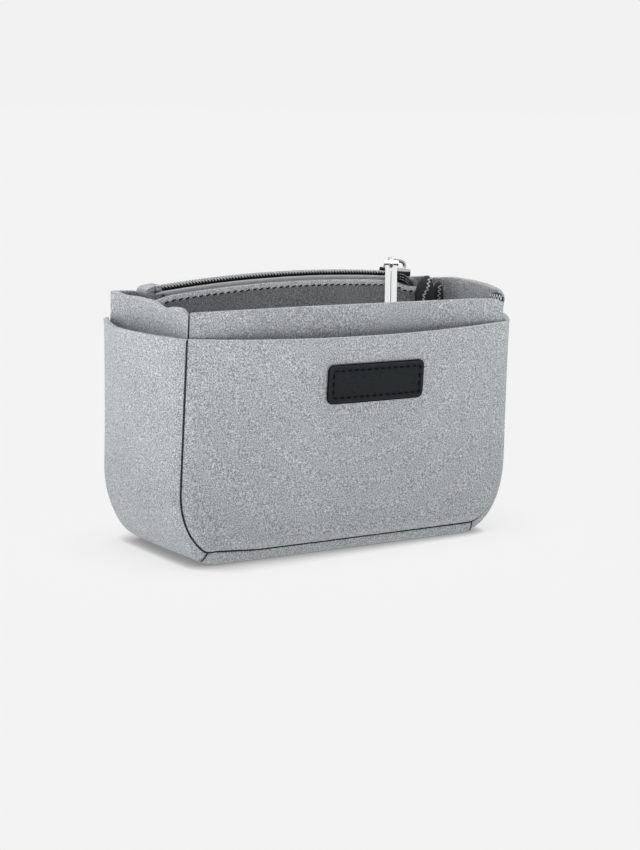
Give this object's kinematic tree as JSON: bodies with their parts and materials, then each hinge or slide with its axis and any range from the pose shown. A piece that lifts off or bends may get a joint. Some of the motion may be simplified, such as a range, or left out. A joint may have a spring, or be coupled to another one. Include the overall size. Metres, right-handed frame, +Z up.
{
  "type": "felt purse organizer insert",
  "caption": "Open-topped felt box insert for a handbag, with slip pockets outside, a zip pocket along the back wall, a stitched patch and a hanging bar pull on the zip slider.",
  "frame": {"origin": "middle of the outline on the floor", "axes": "+X along the front from left to right, +Y from the front to the back, +Z up"},
  "size_m": [0.188, 0.0752, 0.1158],
  "materials": {
    "felt": "heather grey needled felt",
    "binding": "dark grey woven binding tape",
    "patch": "matt dark leather with a stitched border",
    "zip_tape": "grey woven zip tape",
    "zip_coil": "grey nylon coil",
    "metal": "bright nickel plating"
  },
  "bodies": {
    "insert": {"front_panel": "felt", "front_pocket": "felt", "back_panel": "felt", "back_pocket": "felt", "left_end_panel": "felt", "left_end_pocket": "felt", "right_end_panel": "felt", "right_end_pocket": "felt", "base_panel": "felt", "zip_pocket_panel": "felt", "zip_end_tab": "felt", "front_seam_binding": "binding", "back_seam_binding": "binding", "label_patch": "patch", "zip_tape_front": "zip_tape", "zip_tape_back": "zip_tape", "zip_coil_front": "zip_coil", "zip_coil_back": "zip_coil"},
    "slider": {"slider_body": "metal", "slider_crown": "metal"},
    "pull_link": {"pull_link": "metal"},
    "pull_bar": {"pull_bar": "metal"}
  },
  "joints": [
    {"name": "zip_slide", "type": "hinge", "parent": "insert", "child": "slider", "pos_m": [0.00525, 0.02133, -0.5294], "axis": [0, 1, 0], "range_deg": [-10.2, 0], "deforming": ["zip_coil_front", "zip_coil_back", "zip_tape_front", "zip_tape_back"]},
    {"name": "link_swing", "type": "hinge", "parent": "slider", "child": "pull_link", "pos_m": [0.05104, 0.02133, 0.11395], "axis": [-0.8387, 0.5446, 0], "range_deg": [0, 170]},
    {"name": "bar_swing", "type": "hinge", "parent": "pull_link", "child": "pull_bar", "pos_m": [0.04581, 0.01327, 0.11395], "axis": [-0.8387, 0.5446, 0], "range_deg": [0, 82]}
  ]
}
